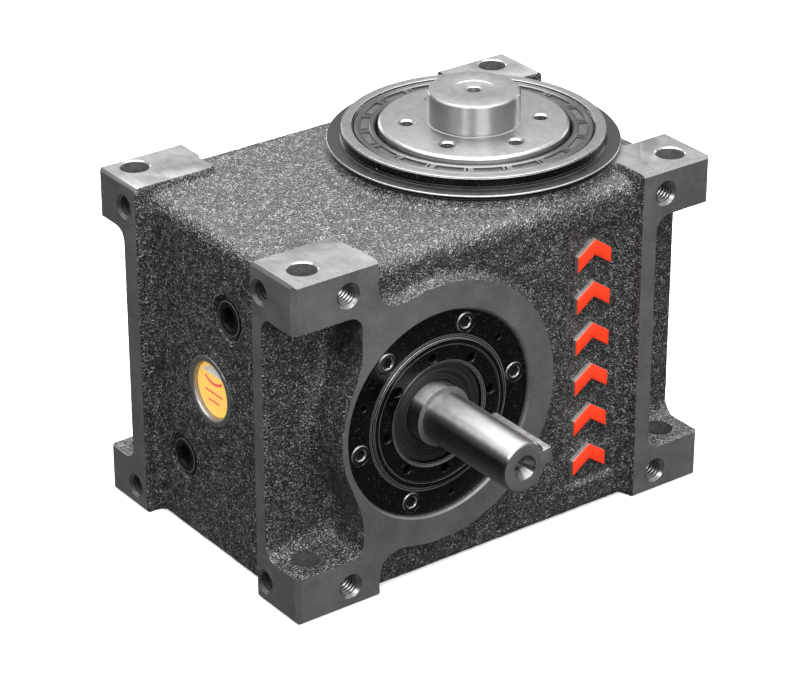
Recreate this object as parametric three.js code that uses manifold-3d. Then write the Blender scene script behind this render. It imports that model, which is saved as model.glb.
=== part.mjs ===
// Right-angle roller-gear cam drive: an input shaft with a globoidal cam turns a turret of six cam
// followers, which carries the vertical output flange. Millimetres, +Z up.
import * as THREE from "three";
import { mergeVertices } from "three/addons/utils/BufferGeometryUtils.js";
import Module from "manifold-3d";

const wasm = await Module();
wasm.setup();

// Casting. X runs from the left machined faces, Y from the front ones, Z from the underside.
const LENGTH = 243;
const WIDTH = 162;
const HEIGHT = 174;
const WALL_LEFT = 8.3; // how far the cast end walls sit behind the machined end faces
const WALL_FRONT = 6; // the same for the front and back walls
const CAST_BOTTOM = 1;
const CAST_TOP = 169;
const EDGE_ROUND = 8;
const LUG_LEFT = 45.5; // length of the left lugs along X
const LUG_RIGHT = 42.5; // length of the right lugs along X
const LUG_FRONT = 33.5; // depth of the front lugs along Y
const LUG_BACK = 33; // depth of the back lugs along Y
const LUG_BASE = 24.5; // height of the lower lugs
const LUG_CAP = 149.5; // underside of the upper lugs
const NOTCH_LEFT = 37.5;
const NOTCH_RIGHT = 32.5;
const NOTCH_FRONT = 25;
const NOTCH_BACK = 21;
const NOTCH_ROUND = 6;
const BOLT_X = [14.5, 228.5]; // vertical foot and head holes
const BOLT_Y = [13.5, 152];
const BOLT_RADIUS = 7;
const TAP_X = [30, 215]; // tapped holes in the front and back faces of the lugs
const TAP_Y = [26.7, 139.5]; // tapped holes in the end faces of the lugs
const TAP_Z = [11, 161.5];
const TAP_RADIUS = 5.2;
const TAP_DEPTH = 18;

// Shafts. The two axes cross at right angles, CENTRES apart.
const INPUT_X = 82;
const AXIS_Z = 85;
const CENTRES = 80;
const OUTPUT_X = INPUT_X + CENTRES;
const OUTPUT_Y = WIDTH / 2;
const SHAFT_REACH = 62.5; // input shaft beyond the front face
const SHAFT_RADIUS = 12.5;
const SEAT_RADIUS = 15; // under the bearings and the cam
const KEY_TURN = 8; // degrees from +X towards +Z

// Bearing caps on the input axis.
const BOSS_RADIUS = 67;
const WEB_ROUND = 20; // concave edge between a left lug and the boss
const BOSS_WALL = 56; // outside of the cap seat where a corner pocket cuts into it
const BOSS_DEPTH = 28;
const CAP_RADIUS = 52;
const CAP_FACE = 2;
const CAP_FLANGE = 12;
const SPIGOT_RADIUS = 39.9;
const CAP_GAP = 0.3; // between a cap and its seat
const CAP_SCREWS = 6;
const CAP_SCREW_CIRCLE = 45.2;
const CAP_SCREW_TURN = 10;

// Cam and follower turret.
const FOLLOWERS = 6;
const ROLLER_RADIUS = 9;
const ROLLER_INNER = 43.8; // distance from the output axis
const ROLLER_OUTER = 56.5;
const RIB_TIP = 43.2;
const GROOVE_FLOOR = 59.4;
const GROOVE_CLEARANCE = 0.4;
const CAM_HALF_LENGTH = 30;
const TURRET_RADIUS = 42.5;
const TURRET_BOTTOM = 72;
const TURRET_TOP = 98;

// Output.
const FLANGE_RADIUS = 71;
const RING_RADIUS = 64;
const RING_TOP = 183;
const DISC_RADIUS = 46;
const DISC_TOP = 185;
const BOSS_TOP_RADIUS = 22.5;
const BOSS_TOP = 201;
const DISC_HOLE_CIRCLE = 32.5;
const DISC_HOLE_RADIUS = 3.4;
const SEAL_OUTER = 57.6;
const SEAL_INNER = 47.6;
const SEAL_SEGMENTS = 18;

// Facets of a full circle.
const WIDE = 32;
const MIDDLE = 24;
const NARROW = 12;
const TINY = 8;
const MESH_TOLERANCE = 0.01;

const castIron = { color: 0x34363a, roughness: 0.75, metalness: 0.35 };
const machined = { color: 0xc2c4c8, roughness: 0.3, metalness: 0.9 };
const polished = { color: 0xd8dadd, roughness: 0.15, metalness: 1 };
const blackened = { color: 0x17181a, roughness: 0.32, metalness: 0.7 };
const hardened = { color: 0x8c9096, roughness: 0.3, metalness: 0.9 };
const rubber = { color: 0x2a2b2d, roughness: 0.7, metalness: 0 };
const sealCase = { color: 0x6b6e73, roughness: 0.45, metalness: 0.6 };
const oilAmber = { color: 0xf2b632, roughness: 0.4, metalness: 0 };
const clearGlass = { color: 0xd9ecf2, roughness: 0.05, metalness: 0, transparent: true, opacity: 0.35 };

const group = new THREE.Group();
group.name = "roller_gear_cam_drive";
group.position.set(-LENGTH / 2, -(WIDTH - SHAFT_REACH) / 2, 0);

const radians = THREE.MathUtils.degToRad;

function solidOf(geometry) {
  const bare = geometry.index ? geometry : mergeVertices(geometry);
  bare.deleteAttribute("normal");
  bare.deleteAttribute("uv");
  const merged = mergeVertices(bare, 1e-3);
  const triVerts = new Uint32Array(merged.index.array);
  const vertProperties = merged.attributes.position.array;
  return new wasm.Manifold(new wasm.Mesh({ numProp: 3, vertProperties, triVerts }));
}

function add(name, solid, look) {
  const mesh = solid.asOriginal().simplify(MESH_TOLERANCE).getMesh();
  const geometry = new THREE.BufferGeometry();
  geometry.setAttribute("position", new THREE.BufferAttribute(mesh.vertProperties, 3));
  geometry.setIndex(new THREE.BufferAttribute(mesh.triVerts, 1));
  const flat = geometry.toNonIndexed();
  flat.computeVertexNormals();
  const piece = new THREE.Mesh(flat, new THREE.MeshStandardMaterial(look));
  piece.name = name;
  group.add(piece);
}

function block(x0, x1, y0, y1, z0, z1) {
  const shape = new THREE.BoxGeometry(x1 - x0, y1 - y0, z1 - z0);
  return solidOf(shape.translate((x0 + x1) / 2, (y0 + y1) / 2, (z0 + z1) / 2));
}

// Turns a geometry built along +Y so that it runs along the named axis, then moves it to the centre line.
// The centre is given by the two other coordinates, in X, Y, Z order.
function along(geometry, axis, centre) {
  if (axis === "z") {
    return geometry.rotateX(Math.PI / 2).translate(centre[0], centre[1], 0);
  }
  if (axis === "x") {
    return geometry.rotateZ(-Math.PI / 2).translate(0, centre[0], centre[1]);
  }
  return geometry.translate(centre[0], 0, centre[1]);
}

function rod(radius, from, to, axis, centre, sides = MIDDLE) {
  const shape = new THREE.CylinderGeometry(radius, radius, to - from, sides);
  return solidOf(along(shape.translate(0, (from + to) / 2, 0), axis, centre));
}

// A turned solid. The outline lists [radius, station] pairs and is closed from its last point to its first.
function turned(outline, axis, centre, sides = WIDE) {
  const points = outline.map(([r, s]) => new THREE.Vector2(r, s));
  if (THREE.ShapeUtils.area(points) < 0) {
    points.reverse();
  }
  const onAxis = points.findIndex((p, i) => p.x === 0 && points[(i + 1) % points.length].x === 0);
  if (onAxis >= 0) {
    points.push(...points.splice(0, onAxis + 1));
  } else {
    points.push(points[0].clone());
  }
  return solidOf(along(new THREE.LatheGeometry(points, sides), axis, centre));
}

// A straight solid with a drawn outline. The outline's two coordinates are the axes other than the
// one it runs along, in X, Y, Z order.
function prism(shape, from, to, axis) {
  const solid = new THREE.ExtrudeGeometry(shape, { depth: to - from, bevelEnabled: false, curveSegments: 2 });
  if (axis === "y") {
    return solidOf(solid.rotateX(Math.PI / 2).translate(0, to, 0));
  }
  if (axis === "x") {
    const turn = new THREE.Matrix4().makeBasis(
      new THREE.Vector3(0, 1, 0),
      new THREE.Vector3(0, 0, 1),
      new THREE.Vector3(1, 0, 0),
    );
    return solidOf(solid.applyMatrix4(turn).translate(from, 0, 0));
  }
  return solidOf(solid.translate(0, 0, from));
}

function roundedRectangle(a0, a1, b0, b1, round) {
  const shape = new THREE.Shape();
  shape.moveTo(a0 + round, b0);
  shape.lineTo(a1 - round, b0);
  shape.absarc(a1 - round, b0 + round, round, -Math.PI / 2, 0, false);
  shape.lineTo(a1, b1 - round);
  shape.absarc(a1 - round, b1 - round, round, 0, Math.PI / 2, false);
  shape.lineTo(a0 + round, b1);
  shape.absarc(a0 + round, b1 - round, round, Math.PI / 2, Math.PI, false);
  shape.lineTo(a0, b0 + round);
  shape.absarc(a0 + round, b0 + round, round, Math.PI, 1.5 * Math.PI, false);
  return shape;
}

// Turns a solid about a line along the named axis.
function spin(solid, degrees, axis, centre) {
  const [a, b] = centre;
  const offset = { x: [0, a, b], y: [a, 0, b], z: [a, b, 0] }[axis];
  const angles = { x: [degrees, 0, 0], y: [0, degrees, 0], z: [0, 0, degrees] }[axis];
  const back = offset.map((v) => -v);
  return solid.translate(back).rotate(angles).translate(offset);
}

const inputLine = [INPUT_X, AXIS_Z];
const outputLine = [OUTPUT_X, OUTPUT_Y];

// ---------------------------------------------------------------- housing

function cornerColumns() {
  const columns = [
    block(0, LUG_LEFT, 0, LUG_FRONT, 0, HEIGHT),
    block(LENGTH - LUG_RIGHT, LENGTH, 0, LUG_FRONT, 0, HEIGHT),
    block(0, LUG_LEFT, WIDTH - LUG_BACK, WIDTH, 0, HEIGHT),
    block(LENGTH - LUG_RIGHT, LENGTH, WIDTH - LUG_BACK, WIDTH, 0, HEIGHT),
  ];
  return columns.reduce((whole, column) => whole.add(column));
}

// The pocket between an upper and a lower lug, rounded in the front view and in the end view.
function cornerPocket(x0, x1, y0, y1) {
  const front = roundedRectangle(x0, x1, LUG_BASE, LUG_CAP, NOTCH_ROUND);
  const end = roundedRectangle(y0, y1, LUG_BASE, LUG_CAP, NOTCH_ROUND);
  return prism(front, y0, y1, "y").intersect(prism(end, x0, x1, "x"));
}

// Web with a concave edge between a left lug and the round boss on the front or back face.
function bossWeb(up, y0, y1) {
  const edge = LUG_LEFT;
  const centreX = edge + WEB_ROUND;
  const reach = BOSS_RADIUS + WEB_ROUND;
  const rise = Math.sqrt(reach ** 2 - (INPUT_X - centreX) ** 2);
  const shape = new THREE.Shape();
  const first = Math.PI;
  const last = Math.atan2(-rise, INPUT_X - centreX);
  shape.moveTo(edge - 6, rise);
  for (let i = 0; i <= 4; i++) {
    const a = first + ((last + 2 * Math.PI - first) * i) / 4;
    shape.lineTo(centreX + WEB_ROUND * Math.cos(a), rise + WEB_ROUND * Math.sin(a));
  }
  shape.lineTo(edge + 8, rise - 30);
  shape.lineTo(edge - 6, rise - 30);
  const web = prism(shape, y0, y1, "y");
  return up ? web.translate([0, 0, AXIS_Z]) : web.mirror([0, 0, 1]).translate([0, 0, AXIS_Z]);
}

function housingOutside() {
  const right = LENGTH - WALL_LEFT;
  const back = WIDTH - WALL_FRONT;
  const low = CAST_BOTTOM - EDGE_ROUND;
  const frontView = roundedRectangle(WALL_LEFT, right, low, CAST_TOP, EDGE_ROUND);
  const endView = roundedRectangle(WALL_FRONT, back, low, CAST_TOP, EDGE_ROUND);
  let body = prism(frontView, WALL_FRONT, back, "y").intersect(prism(endView, WALL_LEFT, right, "x"));
  body = body.subtract(block(0, LENGTH, 0, WIDTH, low - 1, CAST_BOTTOM));
  body = body.add(cornerColumns());
  const pockets = [
    cornerPocket(-20, NOTCH_LEFT, -20, NOTCH_FRONT),
    cornerPocket(LENGTH - NOTCH_RIGHT, LENGTH + 20, -20, NOTCH_FRONT),
    cornerPocket(-20, NOTCH_LEFT, WIDTH - NOTCH_BACK, WIDTH + 20),
    cornerPocket(LENGTH - NOTCH_RIGHT, LENGTH + 20, WIDTH - NOTCH_BACK, WIDTH + 20),
  ];
  for (const [y0, y1] of [
    [0, WALL_FRONT + 2],
    [WIDTH - WALL_FRONT - 2, WIDTH],
  ]) {
    body = body.add(rod(BOSS_RADIUS, y0, y1, "y", inputLine, WIDE));
    body = body.add(bossWeb(true, y0, y1)).add(bossWeb(false, y0, y1));
  }
  body = body.subtract(block(-1, LENGTH + 1, -1, WIDTH + 1, -9, 0));
  for (const pocket of pockets) {
    body = body.subtract(pocket);
  }
  body = body.add(rod(BOSS_WALL, 0, BOSS_DEPTH, "y", inputLine, WIDE));
  body = body.add(rod(BOSS_WALL, WIDTH - BOSS_DEPTH, WIDTH, "y", inputLine, WIDE));
  return body.add(rod(70, CAST_TOP - 4, HEIGHT, "z", outputLine, WIDE));
}

function housingInside() {
  const wide = block(46.5, 198, 14, WIDTH - 14, 10, 160);
  const long = block(17, LENGTH - 17, 34, WIDTH - 34, 10, 160);
  const room = wide.add(long);
  const bosses = rod(BOSS_WALL, 0, BOSS_DEPTH, "y", inputLine, WIDE)
    .add(rod(BOSS_WALL, WIDTH - BOSS_DEPTH, WIDTH, "y", inputLine, WIDE))
    .add(rod(62, 0, 30, "z", outputLine, WIDE));
  return room.subtract(bosses);
}

function capSeat(front) {
  const flange = rod(CAP_RADIUS + CAP_GAP, -1, CAP_FLANGE + 0.2, "y", inputLine, WIDE);
  const spigot = rod(SPIGOT_RADIUS + CAP_GAP, 0, BOSS_DEPTH + 1, "y", inputLine, WIDE);
  const seat = flange.add(spigot);
  return front ? seat : seat.mirror([0, 1, 0]).translate([0, WIDTH, 0]);
}

function aroundInput(count, circle, turn) {
  return Array.from({ length: count }, (_, i) => {
    const a = radians(turn + (360 / count) * i);
    return [INPUT_X + circle * Math.cos(a), AXIS_Z + circle * Math.sin(a)];
  });
}

const capScrewPlaces = aroundInput(CAP_SCREWS, CAP_SCREW_CIRCLE, CAP_SCREW_TURN);
const coverScrewPlaces = Array.from({ length: 4 }, (_, i) => {
  const a = radians(45 + 90 * i);
  return [OUTPUT_X + 49 * Math.cos(a), OUTPUT_Y + 49 * Math.sin(a)];
});
const GLASS = [83, AXIS_Z];
const FILLER = [65.5, 130];
const DRAIN = [107.5, 39.5];

// Marks on the front panel: plain raised chevrons in a shallow window.
function chevron(z) {
  const shape = new THREE.Shape();
  const half = 10;
  const middle = 177.5;
  shape.moveTo(middle - half, z);
  shape.lineTo(middle, z + 7);
  shape.lineTo(middle + half, z);
  shape.lineTo(middle + half, z + 8);
  shape.lineTo(middle, z + 15);
  shape.lineTo(middle - half, z + 8);
  return prism(shape, WALL_FRONT + 0.3, WALL_FRONT + 3, "y");
}

function housing() {
  let body = housingOutside().subtract(housingInside());
  body = body.subtract(capSeat(true)).subtract(capSeat(false));
  body = body.subtract(rod(60.3, 148, HEIGHT + 1, "z", outputLine, WIDE));
  body = body.subtract(rod(56.3, -1, 10.3, "z", outputLine, WIDE));
  body = body.subtract(rod(42.3, 9, 31, "z", outputLine, WIDE));
  body = body.subtract(prism(roundedRectangle(163, 192, 15, 151, 3), -1, WALL_FRONT + 1.6, "y"));
  for (let i = 0; i < 6; i++) {
    body = body.add(chevron(20.5 + 22 * i));
  }
  for (const x of BOLT_X) {
    for (const y of BOLT_Y) {
      body = body.subtract(rod(BOLT_RADIUS, -1, HEIGHT + 1, "z", [x, y], NARROW));
    }
  }
  for (const z of TAP_Z) {
    for (const x of TAP_X) {
      body = body.subtract(rod(TAP_RADIUS, -1, TAP_DEPTH, "y", [x, z], TINY));
      body = body.subtract(rod(TAP_RADIUS, WIDTH - TAP_DEPTH, WIDTH + 1, "y", [x, z], TINY));
    }
    for (const y of TAP_Y) {
      body = body.subtract(rod(TAP_RADIUS, -1, TAP_DEPTH, "x", [y, z], TINY));
      body = body.subtract(rod(TAP_RADIUS, LENGTH - TAP_DEPTH, LENGTH + 1, "x", [y, z], TINY));
    }
  }
  for (const place of capScrewPlaces) {
    body = body.subtract(rod(3.1, CAP_FLANGE, 27, "y", place, TINY));
    body = body.subtract(rod(3.1, WIDTH - 27, WIDTH - CAP_FLANGE, "y", place, TINY));
  }
  for (const place of coverScrewPlaces) {
    body = body.subtract(rod(3.1, 9, 22, "z", place, TINY));
  }
  body = body.subtract(rod(16.8, -1, 18, "x", GLASS)).subtract(rod(18.3, -1, 11.1, "x", GLASS));
  for (const place of [FILLER, DRAIN]) {
    body = body.subtract(rod(10.2, -1, 18.2, "x", place, NARROW));
    body = body.subtract(rod(11.6, -1, 9.8, "x", place, NARROW));
  }
  return body;
}

add("housing", housing(), castIron);

// ---------------------------------------------------------------- socket screws and plugs

// A socket-head screw along +Y with its head at the named station, then turned to its place.
function socketScrew(headRadius, headDepth, shankRadius, length, socket) {
  const body = turned(
    [
      [0, 0],
      [headRadius, 0],
      [headRadius, headDepth],
      [shankRadius, headDepth],
      [shankRadius, headDepth + length],
      [0, headDepth + length],
    ],
    "y",
    [0, 0],
    TINY,
  );
  return body.subtract(rod(socket, -1, headDepth * 0.5, "y", [0, 0], 6));
}

const capScrew = socketScrew(4.9, 5.8, 2.9, 17, 2.9);

// ---------------------------------------------------------------- front bearing cap and seal

function capBlank(hub) {
  const spigot = [
    [SPIGOT_RADIUS, BOSS_DEPTH],
    [SPIGOT_RADIUS, CAP_FLANGE],
    [CAP_RADIUS, CAP_FLANGE],
  ];
  return turned([...hub, ...spigot], "y", inputLine);
}

function screwSeats(cap) {
  let made = cap;
  for (const place of capScrewPlaces) {
    made = made.subtract(rod(5.3, -1, CAP_FACE + 6, "y", place, TINY));
    made = made.subtract(rod(3.2, 0, CAP_FLANGE + 1, "y", place, TINY));
  }
  return made;
}

const frontCap = screwSeats(
  capBlank([
    [CAP_RADIUS, CAP_FACE],
    [37.5, CAP_FACE],
    [37.5, CAP_FACE - 1.2],
    [35, CAP_FACE - 1.2],
    [35, 9.3],
    [31.2, 9.3],
    [31.2, BOSS_DEPTH],
  ]),
);
add("front_bearing_cap", frontCap, blackened);
capScrewPlaces.forEach(([x, z], i) => {
  add(`front_cap_screw_${i + 1}`, capScrew.translate([x, CAP_FACE + 0.1, z]), blackened);
});

let adjuster = turned(
  [
    [34.7, 1.3],
    [34.7, 9],
    [25.3, 9],
    [25.3, 1.3],
  ],
  "y",
  inputLine,
);
for (const place of aroundInput(8, 30, 7)) {
  adjuster = adjuster.subtract(rod(2.2, 0, 5.5, "y", place, TINY));
}
add("front_adjusting_ring", adjuster, blackened);

const frontSeal = turned(
  [
    [25, 3.5],
    [25, 10.8],
    [15.3, 10.8],
    [15.3, 5.5],
    [18.5, 5.5],
    [20, 3.5],
  ],
  "y",
  inputLine,
  MIDDLE,
);
add("front_oil_seal", frontSeal, rubber);

// ---------------------------------------------------------------- rear bearing cap

const rearCap = screwSeats(
  capBlank([
    [CAP_RADIUS, CAP_FACE],
    [0, CAP_FACE],
    [0, 9],
    [22, 9],
    [22, 12],
    [31.2, 12],
    [31.2, BOSS_DEPTH],
  ]),
);
add("rear_bearing_cap", rearCap.mirror([0, 1, 0]).translate([0, WIDTH, 0]), blackened);
capScrewPlaces.forEach(([x, z], i) => {
  const screw = capScrew.mirror([0, 1, 0]).translate([x, WIDTH - CAP_FACE - 0.1, z]);
  add(`rear_cap_screw_${i + 1}`, screw, blackened);
});

// ---------------------------------------------------------------- rolling bearing rings

function bearingRing(name, inner, outer, from, to, axis, centre) {
  const outline = [
    [inner, from],
    [outer, from],
    [outer, to],
    [inner, to],
  ];
  add(name, turned(outline, axis, centre, MIDDLE), hardened);
}

bearingRing("input_bearing_front_outer", 26.5, 31, 12.3, 27.6, "y", inputLine);
bearingRing("input_bearing_front_inner", SEAT_RADIUS + 0.2, 20.5, 12.3, 27.6, "y", inputLine);
bearingRing("input_bearing_rear_outer", 26.5, 31, WIDTH - 27.6, WIDTH - 12.3, "y", inputLine);
bearingRing("input_bearing_rear_inner", SEAT_RADIUS + 0.2, 20.5, WIDTH - 27.6, WIDTH - 12.3, "y", inputLine);
bearingRing("output_bearing_upper_outer", 46.5, 51.9, 152, 171.5, "z", outputLine);
bearingRing("output_bearing_upper_inner", 34.35, 40.5, 152, 171.5, "z", outputLine);
bearingRing("output_bearing_lower_outer", 30.5, 36, 15, 31, "z", outputLine);
bearingRing("output_bearing_lower_inner", 20.3, 25.5, 15, 31, "z", outputLine);

// ---------------------------------------------------------------- input shaft, key and cam

function keyBar(from, to, low, high, half) {
  const bar = block(INPUT_X + low, INPUT_X + high, from, to, AXIS_Z - half, AXIS_Z + half);
  return spin(bar, -KEY_TURN, "y", inputLine);
}

let shaft = turned(
  [
    [0, -SHAFT_REACH + 12],
    [4.2, -SHAFT_REACH + 12],
    [4.2, -SHAFT_REACH + 3],
    [5.6, -SHAFT_REACH],
    [SHAFT_RADIUS - 1, -SHAFT_REACH],
    [SHAFT_RADIUS, -SHAFT_REACH + 1],
    [SHAFT_RADIUS, -2.2],
    [SEAT_RADIUS, -2.2],
    [SEAT_RADIUS, 27.8],
    [18, 27.8],
    [18, 42.6],
    [SEAT_RADIUS, 42.6],
    [SEAT_RADIUS, WIDTH - 12],
    [0, WIDTH - 12],
  ],
  "y",
  inputLine,
  MIDDLE,
);
shaft = shaft.subtract(keyBar(-SHAFT_REACH - 1, -18.7, 8.3, 20, 4.1));
shaft = shaft.subtract(keyBar(60, 102, 10.8, 20, 4.1));
add("input_shaft", shaft, polished);
add("input_key", keyBar(-SHAFT_REACH + 0.2, -19, 8.6, 15.8, 3.9), hardened);
add("cam_key", keyBar(60.3, 101.7, 11.1, 18, 3.9), hardened);
add(
  "cam_spacer",
  turned(
    [
      [SEAT_RADIUS + 0.15, 119.6],
      [19, 119.6],
      [19, 134.1],
      [SEAT_RADIUS + 0.15, 134.1],
    ],
    "y",
    inputLine,
    MIDDLE,
  ),
  hardened,
);

// The cam's blank is hollow-waisted so that its rib tips keep one distance from the output axis.
function camBlank() {
  const outline = [];
  const steps = 4;
  for (let i = -steps; i <= steps; i++) {
    const y = (CAM_HALF_LENGTH * i) / steps;
    outline.push([CENTRES - Math.sqrt(RIB_TIP ** 2 - y ** 2), OUTPUT_Y + y]);
  }
  const edge = CENTRES - Math.sqrt(RIB_TIP ** 2 - CAM_HALF_LENGTH ** 2);
  const bore = SEAT_RADIUS + 0.15;
  outline.push([edge, OUTPUT_Y + 32], [24, OUTPUT_Y + 32], [22, OUTPUT_Y + 38], [bore, OUTPUT_Y + 38]);
  outline.push([bore, OUTPUT_Y - 38], [22, OUTPUT_Y - 38], [24, OUTPUT_Y - 32], [edge, OUTPUT_Y - 32]);
  return turned(outline, "y", inputLine, WIDE);
}

// The space the rollers sweep through the turning cam: the cam turns FOLLOWERS times as fast as the turret.
function camGroove() {
  const step = 12;
  const last = 372;
  const levels = [RIB_TIP - 4, 51, GROOVE_FLOOR];
  const rings = [];
  for (let turn = -last; turn <= last; turn += step) {
    const swing = radians(-turn / FOLLOWERS);
    const a = radians(turn);
    const side = (radius, sign) => {
      const reach = CENTRES - radius * Math.cos(swing);
      const slope = radius / (FOLLOWERS * reach);
      const half = sign * (ROLLER_RADIUS * Math.sqrt(1 + slope ** 2) + GROOVE_CLEARANCE);
      const rho = reach + half * Math.sin(swing);
      const y = radius * Math.sin(swing) + half * Math.cos(swing);
      return [INPUT_X + rho * Math.cos(a), OUTPUT_Y + y, AXIS_Z + rho * Math.sin(a)];
    };
    const near = levels.map((radius) => side(radius, 1));
    const far = levels.map((radius) => side(radius, -1)).reverse();
    rings.push([...near, ...far]);
  }
  const count = rings[0].length;
  const triVerts = [];
  for (let i = 0; i + 1 < rings.length; i++) {
    for (let j = 0; j < count; j++) {
      const a = i * count + j;
      const b = i * count + ((j + 1) % count);
      triVerts.push(a, b, a + count, b, b + count, a + count);
    }
  }
  const top = (rings.length - 1) * count;
  for (let j = 1; j + 1 < count; j++) {
    triVerts.push(0, j + 1, j, top, top + j, top + j + 1);
  }
  const geometry = new THREE.BufferGeometry();
  geometry.setAttribute("position", new THREE.BufferAttribute(new Float32Array(rings.flat(2)), 3));
  geometry.setIndex(triVerts);
  return solidOf(geometry);
}

let cam = camBlank().subtract(camGroove());
cam = cam.subtract(keyBar(40, 122, 10, 18.3, 4.1));
add("roller_gear_cam", cam, hardened);

// ---------------------------------------------------------------- turret and its cam followers

function followerPlace(i) {
  return 180 + (360 / FOLLOWERS) * i;
}

// Built on the +X side of the output axis at the height of the input axis, then turned to its place.
function toTurret(solid, i) {
  return spin(solid.translate([OUTPUT_X, 0, 0]), followerPlace(i), "z", outputLine);
}

const radialLine = [OUTPUT_Y, AXIS_Z];
let turret = turned(
  [
    [22.3, TURRET_BOTTOM],
    [TURRET_RADIUS, TURRET_BOTTOM],
    [TURRET_RADIUS, TURRET_TOP],
    [22.3, TURRET_TOP],
  ],
  "z",
  outputLine,
);
for (let i = 0; i < FOLLOWERS; i++) {
  turret = turret.subtract(toTurret(rod(5.2, 26, 50, "x", radialLine, TINY), i));
}
add("follower_turret", turret, hardened);

const stud = turned(
  [
    [0, 26.4],
    [5, 26.4],
    [5, ROLLER_OUTER + 0.2],
    [7, ROLLER_OUTER + 0.2],
    [7, ROLLER_OUTER + 1.2],
    [0, ROLLER_OUTER + 1.2],
  ],
  "x",
  radialLine,
  TINY,
);
const roller = turned(
  [
    [5.3, ROLLER_INNER],
    [ROLLER_RADIUS, ROLLER_INNER],
    [ROLLER_RADIUS, ROLLER_OUTER],
    [5.3, ROLLER_OUTER],
  ],
  "x",
  radialLine,
  16,
);
for (let i = 0; i < FOLLOWERS; i++) {
  add(`follower_stud_${i + 1}`, toTurret(stud, i), hardened);
  add(`follower_roller_${i + 1}`, toTurret(roller, i), polished);
}

// ---------------------------------------------------------------- output flange, carrier and seal

let flange = turned(
  [
    [0, 183],
    [DISC_HOLE_RADIUS, 183],
    [DISC_HOLE_RADIUS, BOSS_TOP],
    [BOSS_TOP_RADIUS - 1, BOSS_TOP],
    [BOSS_TOP_RADIUS, BOSS_TOP - 1],
    [BOSS_TOP_RADIUS, DISC_TOP],
    [DISC_RADIUS - 1, DISC_TOP],
    [DISC_RADIUS, DISC_TOP - 1],
    [DISC_RADIUS, 173],
    [34, 173],
    [34, TURRET_TOP + 0.2],
    [22, TURRET_TOP + 0.2],
    [22, 31.3],
    [20, 31.3],
    [20, 14.5],
    [0, 14.5],
  ],
  "z",
  outputLine,
);
for (let i = 0; i < 6; i++) {
  const a = radians(30 + 60 * i);
  const place = [OUTPUT_X + DISC_HOLE_CIRCLE * Math.cos(a), OUTPUT_Y + DISC_HOLE_CIRCLE * Math.sin(a)];
  flange = flange.subtract(rod(DISC_HOLE_RADIUS, 174.5, DISC_TOP + 1, "z", place, TINY));
}
add("output_flange", flange, polished);

const carrier = turned(
  [
    [60, 150],
    [60, HEIGHT + 0.15],
    [FLANGE_RADIUS, HEIGHT + 0.15],
    [FLANGE_RADIUS, HEIGHT + 3],
    [RING_RADIUS, HEIGHT + 3],
    [RING_RADIUS, RING_TOP],
    [58, RING_TOP],
    [58, 172],
    [52.2, 172],
    [52.2, 150],
  ],
  "z",
  outputLine,
);
add("output_bearing_carrier", carrier, blackened);

let outputSeal = turned(
  [
    [SEAL_OUTER, 173.4],
    [SEAL_OUTER, RING_TOP - 0.5],
    [SEAL_INNER, RING_TOP - 0.5],
    [SEAL_INNER, 173.4],
  ],
  "z",
  outputLine,
);
for (let i = 0; i < SEAL_SEGMENTS; i++) {
  const pocket = block(50.6, 54.6, -6, 6, RING_TOP - 1.1, RING_TOP).translate([OUTPUT_X, OUTPUT_Y, 0]);
  outputSeal = outputSeal.subtract(spin(pocket, (360 / SEAL_SEGMENTS) * i, "z", outputLine));
}
add("output_seal", outputSeal, sealCase);

// ---------------------------------------------------------------- bottom cover

let cover = turned(
  [
    [0, 2],
    [56, 2],
    [56, 10],
    [42, 10],
    [42, 31.5],
    [36.2, 31.5],
    [36.2, 14.7],
    [26, 14.7],
    [26, 12],
    [0, 12],
  ],
  "z",
  outputLine,
);
for (const place of coverScrewPlaces) {
  cover = cover.subtract(rod(5.3, 0, 8, "z", place, TINY)).subtract(rod(3.2, 0, 11, "z", place, TINY));
}
add("bottom_cover", cover, blackened);
const coverScrew = socketScrew(4.9, 5.8, 2.9, 12, 2.9).rotate([90, 0, 0]);
coverScrewPlaces.forEach(([x, y], i) => {
  add(`bottom_cover_screw_${i + 1}`, coverScrew.translate([x, y, 2.1]), blackened);
});

// ---------------------------------------------------------------- left wall fittings

const bezel = turned(
  [
    [18, 8.2],
    [18, 10.9],
    [16.5, 10.9],
    [16.5, 14.4],
    [14.4, 14.4],
    [14.4, 8.2],
  ],
  "x",
  GLASS,
  MIDDLE,
);
add("sight_glass_bezel", bezel, machined);
add("sight_glass_window", rod(14.1, 9.1, 10.6, "x", GLASS), clearGlass);
add("sight_glass_reflector", rod(14.1, 10.9, 12.1, "x", GLASS), oilAmber);

function pipePlug(place) {
  const body = turned(
    [
      [0, 8.9],
      [9.9, 8.9],
      [9.9, 18],
      [0, 18],
    ],
    "x",
    place,
    NARROW,
  );
  return body.subtract(rod(5.4, 8, 14, "x", place, 6));
}
add("filler_plug", pipePlug(FILLER), blackened);
add("drain_plug", pipePlug(DRAIN), blackened);

export default group;
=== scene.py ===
"""Looks for the right-angle roller-gear cam drive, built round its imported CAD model."""

import math

import bpy
import numpy as np
import openvdb
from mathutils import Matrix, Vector, noise

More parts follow.
